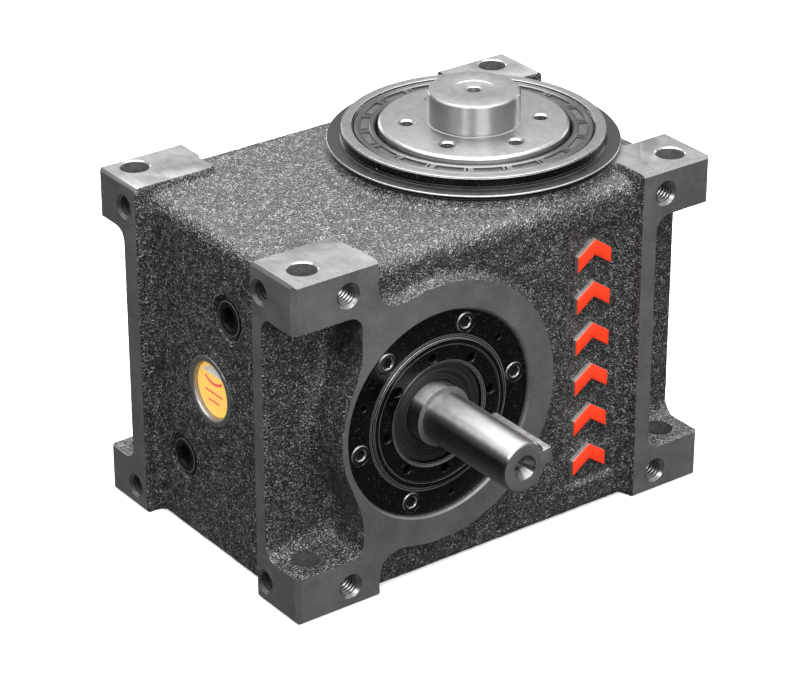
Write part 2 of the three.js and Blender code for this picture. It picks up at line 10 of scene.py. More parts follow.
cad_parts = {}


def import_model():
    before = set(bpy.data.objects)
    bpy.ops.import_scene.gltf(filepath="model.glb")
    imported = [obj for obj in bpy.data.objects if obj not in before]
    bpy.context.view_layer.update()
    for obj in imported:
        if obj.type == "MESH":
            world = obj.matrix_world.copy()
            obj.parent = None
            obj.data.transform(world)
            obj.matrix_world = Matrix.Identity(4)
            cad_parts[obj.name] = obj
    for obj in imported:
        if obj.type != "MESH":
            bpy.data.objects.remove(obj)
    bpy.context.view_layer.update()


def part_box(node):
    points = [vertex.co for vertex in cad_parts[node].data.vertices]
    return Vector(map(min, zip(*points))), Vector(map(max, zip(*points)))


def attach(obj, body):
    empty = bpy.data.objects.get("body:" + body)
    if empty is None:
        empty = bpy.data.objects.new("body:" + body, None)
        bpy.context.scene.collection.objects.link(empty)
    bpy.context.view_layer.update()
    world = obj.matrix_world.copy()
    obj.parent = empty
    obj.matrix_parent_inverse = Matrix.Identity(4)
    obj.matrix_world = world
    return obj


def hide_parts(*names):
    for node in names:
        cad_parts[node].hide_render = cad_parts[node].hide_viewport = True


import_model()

# ---------------- measures, in millimetres
# X runs from the casting's left machined faces, Y from the front ones and Z from its underside.

CORNER, FAR_CORNER = (np.array(c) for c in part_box("housing"))
LENGTH, WIDTH, HEIGHT = ((FAR_CORNER - CORNER) * 1000).tolist()


def span(node):
    """A CAD node's lowest and highest corner in the casting's millimetres."""
    return [((np.array(c) - CORNER) * 1000).tolist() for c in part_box(node)]


def middle(node, first, second):
    """The middle of a CAD node along two axes."""
    low, high = span(node)
    return tuple((low[i] + high[i]) / 2 for i in (first, second))


INPUT = middle("front_bearing_cap", 0, 2)
OUTPUT = middle("output_flange", 0, 1)
GLASS = middle("sight_glass_bezel", 1, 2)
FILLER = middle("filler_plug", 1, 2)
DRAIN = middle("drain_plug", 1, 2)
SHAFT_END = span("input_shaft")[0][1]
BOSS_TOP = span("output_flange")[1][2]
RING_TOP = span("output_bearing_carrier")[1][2]
CAP_RADIUS = (span("front_bearing_cap")[1][0] - span("front_bearing_cap")[0][0]) / 2

WALL_END = 8.3  # the cast end walls, behind the machined end faces
WALL_SIDE = 6  # the cast front and back walls, behind the machined ones
CAST_BOTTOM = 1
CAST_TOP = HEIGHT - 5
LUG_LEFT, LUG_RIGHT = 45.5, LENGTH - 42.5
LUG_FRONT, LUG_BACK = 33.5, WIDTH - 33
LUG_BASE, LUG_CAP = 24.5, HEIGHT - 24.5
POCKET_LEFT, POCKET_RIGHT = 37.5, LENGTH - 32.5
POCKET_FRONT, POCKET_BACK = 25, WIDTH - 21
BOSS_RADIUS = 67
BOSS_WALL = 56
BOSS_DEPTH = 28
FLANGE_SEAT = 70.4
RING_BORE = 60.4
COVER_BORE = 56.4
ROOM_LOW, ROOM_HIGH = 12.5, 159
BOLT_RADIUS = 7
BOLT_PLACES = [(x, y) for x in (14.5, LENGTH - 14.5) for y in (13.5, WIDTH - 10)]
TAP_RADIUS = 6
TAP_DEPTH = 17
TAP_X = (30, LENGTH - 28)
TAP_Y = (26.7, WIDTH - 22.5)
TAP_Z = (11, HEIGHT - 12.5)
WINDOW = (163, 192, 15, 151)  # lowest and highest X, then Z, of the sunk window
WINDOW_DEPTH = 2.6

CAP_FACE = 2  # the caps' faces, behind the machined faces
CAP_SEAT = 12
CAP_SPIGOT = 39.9
CAP_END = 28
CAP_BORE = 31.2
SCREW_CIRCLE = 45.2
PIN_CIRCLE = 30
COVER_CIRCLE = 49
FLANGE_CIRCLE = 32.5
HEAD_RADIUS, HEAD_DEPTH, SHANK_RADIUS = 4.9, 5.8, 2.9
HEAD_SEAT, SHANK_HOLE = 5.3, 3.2
SHAFT_RADIUS = 12.5
BEARING_SEAT = 15
BEARING_LOW, BEARING_HIGH = 12.3, 27.6
KEY_HALF, SLOT_HALF = 3.9, 4.1
KEY_TURN = 8  # degrees from +X towards +Z
FOLLOWERS = 6
FIRST_FOLLOWER = 180  # degrees
ROLLER_RADIUS = 9
ROLLER_GAP = 0.4
RIB_TIP = 43.2
CENTRES = OUTPUT[0] - INPUT[0]
DISC_TOP = RING_TOP + 2

MM = 0.001
ORIGIN = Vector(CORNER)
INPUT_POINT = ORIGIN + Vector((INPUT[0], 0, INPUT[1])) * MM
OUTPUT_POINT = ORIGIN + Vector((*OUTPUT, 0)) * MM


def about(centre, radius, degrees):
    a = math.radians(degrees)
    return centre[0] + radius * math.cos(a), centre[1] + radius * math.sin(a)


def linked(name, data):
    """An object for the data, in the scene."""
    made = bpy.data.objects.new(name, data)
    bpy.context.scene.collection.objects.link(made)
    return made


# ---------------- materials


class Tree:
    """A node tree, with short ways to add nodes and to join them."""

    def __init__(self, tree):
        self.tree = tree

    def node(self, kind, values=None, **settings):
        made = self.tree.nodes.new("ShaderNode" + kind)
        for key, value in settings.items():
            setattr(made, key, value)
        for key, value in (values or {}).items():
            if isinstance(value, bpy.types.NodeSocket):
                self.tree.links.new(value, made.inputs[key])
            else:
                made.inputs[key].default_value = value
        return made

    def ramp(self, fac, stops):
        """Colours by level. A single number stands for a grey."""
        made = self.node("ValToRGB", {"Fac": fac})
        elements = made.color_ramp.elements
        while len(elements) < len(stops):
            elements.new(0.5)
        for element, (position, colour) in zip(elements, stops):
            element.position = position
            level = colour if isinstance(colour, tuple) else (colour, colour, colour)
            element.color = (*level, 1)
        return made.outputs["Color"]


class Look(Tree):
    """One material's node tree, with a Principled shader to start from."""

    def __init__(self, name, **settings):
        self.material = bpy.data.materials.new(name)
        self.material.use_nodes = True
        super().__init__(self.material.node_tree)
        self.shader = self.tree.nodes["Principled BSDF"]
        self.place = self.node("TexCoord").outputs["Object"]
        for socket, value in settings.items():
            self.shader.inputs[socket.replace("_", " ")].default_value = value

    def noise(self, scale, detail=3, rough=0.55, stretch=None):
        place = self.place
        if stretch is not None:
            place = self.node("Mapping", {"Vector": place, "Scale": stretch}).outputs[0]
        values = {"Vector": place, "Scale": scale, "Detail": detail, "Roughness": rough}
        return self.node("TexNoise", values).outputs["Fac"]

    def cells(self, scale):
        """The distance from the middle of each small cell."""
        return self.node("TexVoronoi", {"Vector": self.place, "Scale": scale}).outputs["Distance"]

    def grains(self, scale):
        """A random level for each small cell."""
        cell = self.node("TexVoronoi", {"Vector": self.place, "Scale": scale}).outputs["Color"]
        return self.node("SeparateColor", {"Color": cell}).outputs["Red"]

    def math(self, operation, a, b):
        return self.node("Math", {0: a, 1: b}, operation=operation).outputs[0]

    def between(self, fac, low, high):
        """A noise level, spread over the range from low to high."""
        values = {"Value": fac, "From Min": 0.3, "From Max": 0.7, "To Min": low, "To Max": high}
        return self.node("MapRange", values).outputs["Result"]

    def bump(self, height, strength, depth_mm, under=None):
        values = {"Height": height, "Strength": strength, "Distance": depth_mm * MM}
        if under is not None:
            values["Normal"] = under
        return self.node("Bump", values).outputs["Normal"]

    def into(self, socket, value):
        self.tree.links.new(value, self.shader.inputs[socket])

    def radial_tangent(self, axis):
        tangent = self.node("Tangent", direction_type="RADIAL", axis=axis)
        self.tree.links.new(tangent.outputs[0], self.shader.inputs["Tangent"])

    def rings(self, axis, pitch_mm):
        """Fine turning marks: a wave of the distance from the input or the output axis."""
        kind = "VectorMath"
        centre, keep = {"Y": (INPUT_POINT, (1, 0, 1)), "Z": (OUTPUT_POINT, (1, 1, 0))}[axis]
        moved = self.node(kind, {0: self.place, 1: centre}, operation="SUBTRACT").outputs[0]
        flat = self.node(kind, {0: moved, 1: keep}, operation="MULTIPLY").outputs[0]
        reach = self.node(kind, {0: flat}, operation="LENGTH").outputs["Value"]
        wobble = self.noise(60, 2)
        turned = self.math("MULTIPLY", reach, 2 * math.pi / (pitch_mm * MM))
        return self.math("SINE", self.math("ADD", turned, wobble), 0)


def cast_look():
    """Dark paint on sand-cast iron, with pale grains in its colour: partly random tone, partly painted
    glints.
    """
    look = Look("cast_iron_painted", Metallic=0.0, Specular_IOR_Level=0.8)
    grain = look.noise(950, 1, 0.5)
    lumps = look.noise(240, 2, 0.5)
    pits = look.cells(1100)
    patchy = look.math("MULTIPLY", look.math("SUBTRACT", lumps, 0.5), 0.5)
    # The palest cells in the colour are partly painted glints.
    speck_and_glint = look.math("ADD", look.grains(1900), patchy)
    levels = [(0.2, 0.007), (0.52, 0.021), (0.76, 0.075), (0.9, 0.17), (1.0, 0.38)]
    look.into("Base Color", look.ramp(speck_and_glint, levels))
    look.into("Roughness", look.between(grain, 0.46, 0.26))
    soft = look.bump(lumps, 0.4, 0.8)
    pitted = look.bump(pits, 0.6, 0.7, soft)
    look.into("Normal", look.bump(grain, 0.6, 0.7, pitted))
    return look.material


def ground_look():
    """Iron machined flat, with streaks along Y."""
    look = Look("ground_iron", Metallic=0.75, Specular_IOR_Level=0.5)
    streaks = look.noise(900, 3, 0.6, stretch=(1, 0.12, 1))
    patches = look.noise(70, 4, 0.6)
    mixed = look.math("ADD", look.math("MULTIPLY", streaks, 0.5), look.math("MULTIPLY", patches, 0.5))
    look.into("Base Color", look.ramp(mixed, [(0.3, 0.2), (0.5, 0.27), (0.72, 0.34)]))
    look.into("Roughness", look.between(patches, 0.4, 0.55))
    look.into("Normal", look.bump(streaks, 0.25, 0.05))
    return look.material


def black_look(name, axis):
    """Turned steel with a black oxide finish, whose lathe marks run round the axis."""
    look = Look(name, Metallic=0.0, Specular_IOR_Level=0.3, Anisotropic=0.92, Anisotropic_Rotation=0.25)
    look.radial_tangent(axis)
    fine = look.noise(900, 3, 0.6)
    marks = look.rings(axis, 0.45)
    # The rare paler cells in the colour are painted glints.
    look.into("Base Color", look.ramp(look.grains(1900), [(0.6, 0.001), (0.96, 0.003), (1.0, 0.05)]))
    look.into("Roughness", look.between(fine, 0.17, 0.24))
    soft = look.bump(fine, 0.06, 0.05)
    look.into("Normal", look.bump(marks, 0.1, 0.02, soft))
    return look.material


def steel_look(name, axis, rough, base, brushed=0.85):
    """Turned bright steel of the base brightness, whose lathe marks run round the axis."""
    look = Look(name, Metallic=1.0, Anisotropic=brushed, Anisotropic_Rotation=0.25)
    look.radial_tangent(axis)
    fine = look.noise(320, 4, 0.6)
    marks = look.rings(axis, 0.5)
    look.into("Base Color", look.ramp(fine, [(0.3, base * 0.9), (0.55, base), (0.75, base * 1.06)]))
    look.into("Roughness", look.between(fine, *rough))
    soft = look.bump(fine, 0.03, 0.03)
    look.into("Normal", look.bump(marks, 0.08, 0.02, soft))
    return look.material


def plain_look(name, colour, rough, metallic=0.0, grain=300, depth=0.05, **more):
    """A colour with fine variation and bumps. Depth is the bumps' height in millimetres."""
    look = Look(name, Metallic=metallic, **more)
    fine = look.noise(grain, 4, 0.6)
    dark = tuple(c * 0.75 for c in colour)
    light = tuple(min(1.0, c * 1.12) for c in colour)
    look.into("Base Color", look.ramp(fine, [(0.32, dark), (0.5, colour), (0.7, light)]))
    look.into("Roughness", look.between(fine, rough * 0.85, rough * 1.15))
    look.into("Normal", look.bump(fine, 0.3, depth))
    return look.material


CAST = cast_look()
GROUND = ground_look()
BLACK_Y = black_look("black_oxide_input", "Y")
BLACK_Z = black_look("black_oxide_output", "Z")
BLACK = plain_look("black_oxide_fastener", (0.03, 0.03, 0.032), 0.22, 0.8)
STEEL_Y = steel_look("ground_steel_input", "Y", (0.32, 0.38), 0.36, 0.97)
STEEL_Z = steel_look("ground_steel_output", "Z", (0.34, 0.4), 0.43, 0.15)
STEEL_BOSS = steel_look("ground_steel_boss", "Z", (0.36, 0.42), 0.42, 0.97)
# Lighter turned steel for the carrier's upward top face: a painted sheen from the light above.
SHEEN_TOP_Z = steel_look("painted_sheen_top", "Z", (0.4, 0.48), 0.3, 0.3)
THREAD = plain_look("cut_thread", (0.3, 0.3, 0.31), 0.28, 0.9, grain=700)
HARD = plain_look("hardened_steel", (0.42, 0.43, 0.45), 0.25, 1.0)
KEY = plain_look("key_steel", (0.3, 0.3, 0.3), 0.42, 0.75)
RUBBER = plain_look("seal_rubber", (0.018, 0.018, 0.02), 0.5, grain=500)
SEAL_CASE = steel_look("seal_case", "Z", (0.3, 0.42), 0.2)
BEZEL = plain_look("bezel_metal", (0.26, 0.26, 0.265), 0.3, 0.7)
# The red enamel also gives off a faint light: a painted glow that brightens it.
RED_GLOW = {"Emission_Color": (1, 0.04, 0.01, 1)}
RED = plain_look("red_enamel_painted_glow", (0.9, 0.05, 0.012), 0.5, 0, 400, 0.12, Emission_Strength=0.3, **RED_GLOW)
# The amber disc also gives off light: a painted glow that brightens it behind the glass.
AMBER_GLOW = {"Emission_Color": (1, 0.62, 0.05, 1)}
AMBER = plain_look("amber_oil_painted_glow", (0.95, 0.5, 0.02), 0.25, 0, 40, 0.02, Emission_Strength=0.6, **AMBER_GLOW)
CLEAR = plain_look("clear_glass", (0.9, 0.92, 0.9), 0.04, grain=30, depth=0.0, Alpha=0.12)
MARK_EDGE = plain_look("mark_edge", (0.36, 0.35, 0.34), 0.4, 0.7, grain=700, depth=0.1)
SOCKET = plain_look("socket_steel", (0.05, 0.05, 0.052), 0.3, 0.6)
# A dimmer copy for the carrier's lower upward step: also a painted sheen.
SHEEN_STEP_Z = steel_look("painted_sheen_step", "Z", (0.3, 0.38), 0.1, 0.5)
# A light grey laid on the rims of chamfers and rounded edges of dark parts: a painted highlight.
EDGE_HIGHLIGHT = plain_look("painted_highlight_edge", (0.42, 0.42, 0.42), 0.34, 0.8, grain=900)
ROUGH_EDGE = plain_look("filed_edge", (0.24, 0.24, 0.24), 0.5, 0.4, grain=1500, depth=0.6)
DARK_EDGE = plain_look("dull_edge", (0.1, 0.1, 0.1), 0.5, 0.5, grain=1500, depth=0.5)
BORE = plain_look("drilled_bore", (0.5, 0.5, 0.5), 0.3, 0.9, grain=500)
ROLLER = plain_look("roller_steel", (0.62, 0.62, 0.63), 0.14, 1.0)
SEAL_PAD = plain_look("seal_pad", (0.12, 0.12, 0.125), 0.42, 0.7)
# The level disc's red marks and white back also glow a little: a painted glow.
RED_MARK = plain_look("red_mark_painted_glow", (0.85, 0.03, 0.01), 0.4, Emission_Strength=0.4, **RED_GLOW)
WHITE_MARK = plain_look("white_back_painted_glow", (0.8, 0.8, 0.72), 0.35, Emission_Strength=0.2)

# ---------------- meshes from outlines


def make(name, points, faces, materials, smooth=30):
    """A mesh object from points in the casting's millimetres."""
    mesh = bpy.data.meshes.new(name)
    placed = np.asarray(points, float) * MM + np.array(ORIGIN)
    mesh.from_pydata(placed.tolist(), [], faces)
    mesh.update()
    made = linked(name, mesh)
    for m in materials:
        mesh.materials.append(m)
    shade(made, smooth)
    return made


def shade(obj, degrees):
    """Smooth shading, except at edges sharper than this."""
    obj.data.shade_smooth()
    obj.data.set_sharp_from_angle(angle=math.radians(degrees))


def to_axis(points, axis, centre):
    """Points built round the Z axis, turned to run along the named axis through the centre line."""
    p = np.asarray(points, float)
    a, b = centre
    if axis == "z":
        return np.column_stack([p[:, 0] + a, p[:, 1] + b, p[:, 2]])
    if axis == "y":
        return np.column_stack([p[:, 1] + a, p[:, 2], p[:, 0] + b])
    return np.column_stack([p[:, 2], p[:, 0] + a, p[:, 1] + b])


def softened(outline, radius, closed):
    """The outline with each corner off the axis made three points, and which spans are wide corners."""
    points = [Vector(p) for p in outline]
    made, bands = [], []
    count = len(points)
    for i, p in enumerate(points):
        ends = not closed and i in (0, count - 1)
        if ends or p.x < 1e-6:
            made.append(tuple(p))
            bands.append(False)
            continue
        before = points[i - 1] - p
        after = points[(i + 1) % count] - p
        r = min(radius, before.length * 0.45, after.length * 0.45)
        a = p + before.normalized() * r
        b = p + after.normalized() * r
        made += [tuple(a), tuple(p * 0.5 + (a + b) * 0.25), tuple(b)]
        wide = r > radius * 0.9
        bands += [wide, wide, False]
    return made, bands


def lathe(name, outline, axis, centre, materials, segments=96, soft=0.25, painted_highlight=None):
    """A turned solid. An outline that starts and ends on the axis is open, any other is closed.

    With painted_highlight, the bands at its widely rounded corners take that material, a painted highlight
    along those edges."""
    closed = not (outline[0][0] == 0 and outline[-1][0] == 0)
    rim, bands = softened(outline, soft, closed) if soft else (outline, [])
    points, rings = [], []
    for r, s in rim:
        if r < 1e-6:
            rings.append([len(points)])
            points.append((0, 0, s))
            continue
        rings.append(list(range(len(points), len(points) + segments)))
        for i in range(segments):
            a = 2 * math.pi * i / segments
            points.append((r * math.cos(a), r * math.sin(a), s))
    faces = []
    pairs = list(zip(rings, rings[1:]))
    if closed:
        pairs.append((rings[-1], rings[0]))
    for low, high in pairs:
        if len(low) == 1 and len(high) == 1:
            continue
        for i in range(segments):
            j = (i + 1) % segments
            face = [low[i % len(low)], low[j % len(low)], high[j % len(high)], high[i % len(high)]]
            faces.append([v for k, v in enumerate(face) if v not in face[:k]])
    made = make(name, to_axis(points, axis, centre), faces, materials + ([painted_highlight] if painted_highlight else []))
    outward(made)
    if painted_highlight:
        index = np.repeat([len(materials) if wide else 0 for wide in bands], segments)
        made.data.polygons.foreach_set("material_index", index[: len(made.data.polygons)])
    return made


def rows(mesh, value="co", kind=float):
    """A value of every vertex, such as its place, in rows of three."""
    read = np.zeros(len(mesh.vertices) * 3, kind)
    mesh.vertices.foreach_get(value, read)
    return read.reshape(-1, 3)


def outward(obj):
    """Turns the faces out if the mesh's volume says that they face in."""
    mesh = obj.data
    mesh.calc_loop_triangles()
    corners = np.zeros(len(mesh.loop_triangles) * 3, int)
    mesh.loop_triangles.foreach_get("vertices", corners)
    t = rows(mesh)[corners.reshape(-1, 3)]
    if np.einsum("ij,ij->i", t[:, 0], np.cross(t[:, 1], t[:, 2])).sum() < 0:
        mesh.flip_normals()


def prism(name, outline, axis, low, high, materials):
    """A straight solid from a closed outline in the two other coordinates, in X, Y, Z order."""
    n = len(outline)
    turn = "xyz".index(axis)
    points = []
    for level in (low, high):
        for p in outline:
            points.append((*p[:turn], level, *p[turn:]))
    faces = [list(range(n)), list(range(2 * n - 1, n - 1, -1))]
    faces += [[(i + 1) % n, i, n + i, n + (i + 1) % n] for i in range(n)]
    made = make(name, points, faces, materials)
    outward(made)
    return made


def arc(centre, radius, start, end, steps):
    angles = np.radians(np.linspace(start, end, steps + 1))
    return [(centre[0] + radius * math.cos(a), centre[1] + radius * math.sin(a)) for a in angles]


def rounded_outline(a0, a1, b0, b1, r):
    corners = [(a1 - r, b0 + r, -90), (a1 - r, b1 - r, 0), (a0 + r, b1 - r, 90), (a0 + r, b0 + r, 180)]
    return [p for a, b, start in corners for p in arc((a, b), r, start, start + 90, 6)]


def joined(name, objs):
    """One object from several that don't overlap."""
    points, faces, slots, materials = [], [], [], []
    for o in objs:
        base = len(points)
        points += [v.co[:] for v in o.data.vertices]
        for f in o.data.polygons:
            faces.append([base + v for v in f.vertices])
            m = o.data.materials[f.material_index]
            if m not in materials:
                materials.append(m)
            slots.append(materials.index(m))
        remove(o)
    mesh = bpy.data.meshes.new(name)
    mesh.from_pydata(points, [], faces)
    for m in materials:
        mesh.materials.append(m)
    mesh.polygons.foreach_set("material_index", slots)
    return linked(name, mesh)


def remove(obj):
    mesh = obj.data
    bpy.data.objects.remove(obj)
    bpy.data.meshes.remove(mesh)


def applied(obj, smooth):
    """Applies the object's one modifier and shades it again."""
    made = bpy.data.meshes.new_from_object(obj.evaluated_get(bpy.context.evaluated_depsgraph_get()))
    old = obj.data
    obj.modifiers.clear()
    obj.data = made
    bpy.data.meshes.remove(old)
    shade(obj, smooth)
    return obj


def boolean(obj, tools, operation="DIFFERENCE", smooth=30):
    """Cuts, joins or trims obj with tools that don't overlap. New faces keep the tool's material."""
    tool = joined("tool", tools)
    step = obj.modifiers.new("cut", "BOOLEAN")
    step.object = tool
    step.operation = operation
    step.solver = "MANIFOLD"
    step.material_mode = "TRANSFER"
    applied(obj, smooth)
    remove(tool)
    return obj


def drilled(radius, low, high, axis, centre, material, segments, mouth=0.0, tip=False):
    """A cutter for a hole whose mouth is at low, with a countersink and a drill point if asked."""
    way = 1 if high > low else -1
    outline = [(0, low - way)]
    if mouth:
        outline += [(radius + mouth + 1, low - way), (radius, low + way * mouth)]
    else:
        outline += [(radius, low - way)]
    outline += [(radius, high), (0, high + (way * radius * 0.55 if tip else 0))]
    return lathe("hole", outline, axis, centre, [material], segments, soft=0)


def tapped(radius, low, high, axis, centre, pitch=2.0):
    """A cutter for a tapped hole: a countersink, thread crests and roots, then the core drilling."""
    way = 1 if high > low else -1
    core = radius - 0.62 * pitch
    turns = 6
    outline = [(0, low - way), (radius + 1.4, low - way), (radius + 0.1, low + way * 0.3)]
    for i in range(turns):
        outline.append((core, low + way * pitch * (i + 0.7)))
        outline.append((core, low + way * pitch * (i + 0.85)))
        outline.append((radius + 0.15, low + way * pitch * (i + 1.25)))
    outline += [(core, low + way * pitch * (turns + 0.8)), (core, high), (0, high + way * core * 0.55)]
    return lathe("tap", outline, axis, centre, [THREAD], 24, soft=0)


# ---------------- the casting, from a distance field

GRID = 1.5


class Field:
    """Distance fields on one grid round the casting, in millimetres, negative inside."""

    def __init__(self, pitch):
        margin = 8
        self.low = np.array([-margin] * 3, np.float32)
        high = np.array([LENGTH, WIDTH, HEIGHT]) + margin
        counts = np.ceil((high - self.low) / pitch).astype(int) + 1
        axes = [self.low[i] + pitch * np.arange(counts[i], dtype=np.float32) for i in range(3)]
        self.x, self.y, self.z = np.meshgrid(*axes, indexing="ij", sparse=True)

    def block(self, low, high, r):
        """A block with its edges rounded to radius r."""
        reach = []
        for p, a, b in zip((self.x, self.y, self.z), low, high):
            reach.append(np.abs(p - (a + b) / 2) - ((b - a) / 2 - r))
        x, y, z = (np.maximum(q, 0) for q in reach)
        outside = np.sqrt(x * x + y * y + z * z)
        inside = np.minimum(np.maximum(np.maximum(reach[0], reach[1]), reach[2]), 0)
        return outside + inside - r

    def slab(self, flat, p, low, high, r=0):
        """A flat field, extruded along p from low to high with rounded edges."""
        a = flat + r
        b = np.abs(p - (low + high) / 2) - (high - low) / 2 + r
        return common(a, b) - r

    def rectangle_xz(self, x0, x1, z0, z1):
        a = np.abs(self.x - (x0 + x1) / 2) - (x1 - x0) / 2
        b = np.abs(self.z - (z0 + z1) / 2) - (z1 - z0) / 2
        return common(a, b)


def disc(p, q, centre, radius):
    return np.sqrt((p - centre[0]) ** 2 + (q - centre[1]) ** 2) - radius


def common(a, b):
    """Where both fields are inside, with true distances off its corner."""
    outside = np.sqrt(np.maximum(a, 0) ** 2 + np.maximum(b, 0) ** 2)
    return outside + np.minimum(np.maximum(a, b), 0)


def union(a, b, r):
    """Both shapes, with a concave fillet of radius r where they meet."""
    u, v = np.maximum(r - a, 0), np.maximum(r - b, 0)
    return np.maximum(r, np.minimum(a, b)) - np.sqrt(u * u + v * v)


def without(a, b, r):
    """a less b, with the new edges rounded to radius r."""
    u, v = np.maximum(r + a, 0), np.maximum(r - b, 0)
    return np.minimum(-r, np.maximum(a, -b)) + np.sqrt(u * u + v * v)


def casting_field(f):
    spare = 1.0  # stock that machining takes off
    top = HEIGHT + spare
    body = f.block((WALL_END, WALL_SIDE, -20), (LENGTH - WALL_END, WIDTH - WALL_SIDE, CAST_TOP), 8)
    body = np.maximum(body, CAST_BOTTOM - f.z)
    lug_edge, lug_fillet = 2.4, 3
    for x0, x1 in ((-spare, LUG_LEFT), (LUG_RIGHT, LENGTH + spare)):
        for y0, y1 in ((-spare, LUG_FRONT), (LUG_BACK, WIDTH + spare)):
            lug = f.block((x0, y0, -spare), (x1, y1, top), lug_edge)
            body = union(body, lug, lug_fillet)
    pad = f.slab(disc(f.x, f.y, OUTPUT, FLANGE_SEAT), f.z, 150, top, 1)
    body = union(body, pad, 4)
    web = f.rectangle_xz(-spare, LUG_LEFT, -spare, top)
    web = union(web, disc(f.x, f.z, INPUT, BOSS_RADIUS), 20)
    web_depth = 16
    for y0, y1 in ((-spare, web_depth), (WIDTH - web_depth, WIDTH + spare)):
        body = union(body, f.slab(web, f.y, y0, y1, 1), 4)
    out = 30  # how far a cutting block reaches past the casting
    for y0, y1 in ((-out, POCKET_FRONT), (POCKET_BACK, WIDTH + out)):
        for x0, x1 in ((-out, POCKET_LEFT), (POCKET_RIGHT, LENGTH + out)):
            body = without(body, f.block((x0, y0, LUG_BASE), (x1, y1, LUG_CAP), 7), 2)
    wall = disc(f.x, f.z, INPUT, BOSS_WALL)
    wall_depth = 40
    for y0, y1 in ((-spare, wall_depth), (WIDTH - wall_depth, WIDTH + spare)):
        body = union(body, f.slab(wall, f.y, y0, y1), 7)
    x0, x1, z0, z1 = WINDOW
    return without(body, f.block((x0, -out, z0), (x1, WALL_SIDE + WINDOW_DEPTH, z1), 1.0), 0.5)


def rough_casting():
    """Meshes the field and roughens it as sand casting does."""
    f = Field(GRID)
    values = casting_field(f).astype(np.float32)
    band = 3 * GRID
    grid = openvdb.FloatGrid(background=float(band))
    grid.copyFromArray(np.clip(values, -band, band))
    points, quads = grid.convertToQuads(isovalue=0.0)
    points = np.array(points, float) * GRID + f.low
    made = make("housing_casting", points, quads.tolist(), [CAST], 60)
    outward(made)
    mesh = made.data
    places, normals = rows(mesh, "co", np.float32), rows(mesh, "normal", np.float32)
    aside = Vector((3, 7, 1))
    rough = []
    for place in map(Vector, places.tolist()):
        coarse = 0.16 * noise.noise(place * 240)
        fine = 0.1 * noise.noise(place * 520 + aside)
        rough.append(coarse + fine)
    places += normals * (np.array(rough, np.float32) * MM)[:, None]
    mesh.vertices.foreach_set("co", places.ravel())
    mesh.update()
    return made


def machining_block():
    """What the machined faces leave of the casting, with its upright corners chamfered."""
    cut = 2.2
    outline = []
    for x, y, sx, sy in ((0, 0, 1, 1), (LENGTH, 0, -1, 1), (LENGTH, WIDTH, -1, -1), (0, WIDTH, 1, -1)):
        pair = [(x, y + sy * cut), (x + sx * cut, y)]
        outline += pair if sx == sy else pair[::-1]
    return prism("stock", outline, "z", 0, HEIGHT, [GROUND])


def broken_edges(body):
    """Files a narrow chamfer along the edges of the top and bottom faces."""
    chamfer = 1.3
    for axis, wide, length, material in (("x", WIDTH, LENGTH, ROUGH_EDGE), ("y", LENGTH, WIDTH, DARK_EDGE)):
        cuts = []
        for side, way in ((0, 1), (wide, -1)):
            for level, rise in ((0, 1), (HEIGHT, -1)):
                outer = (side - way, level - rise)
                along = (side + way * (chamfer + 1), level - rise)
                up = (side - way, level + rise * (chamfer + 1))
                cuts.append(prism("edge", [outer, along, up], axis, -1, length + 1, [material]))
        boolean(body, cuts, smooth=40)


def room():
    """The hollow inside, which leaves the bearing bosses standing."""

    def chamber(x0, x1, wall, corner):
        outline = rounded_outline(x0, x1, wall, WIDTH - wall, corner)
        return prism("room", outline, "z", ROOM_LOW, ROOM_HIGH, [CAST])

    def plug(radius, low, high, axis, centre):
        outline = [(0, low), (radius, low), (radius, high), (0, high)]
        return lathe("boss", outline, axis, centre, [CAST], 96, soft=0)

    hollow = chamber(46.5, 198, 14, 8)
    for x0, x1 in ((17, 60), (185, LENGTH - 17)):
        boolean(hollow, [chamber(x0, x1, 36, 4)], "UNION")
    ends = ((0, BOSS_DEPTH), (WIDTH - BOSS_DEPTH, WIDTH))
    boolean(hollow, [plug(BOSS_WALL, y0, y1, "y", INPUT) for y0, y1 in ends])
    return boolean(hollow, [plug(62, 0, 30, "z", OUTPUT)])


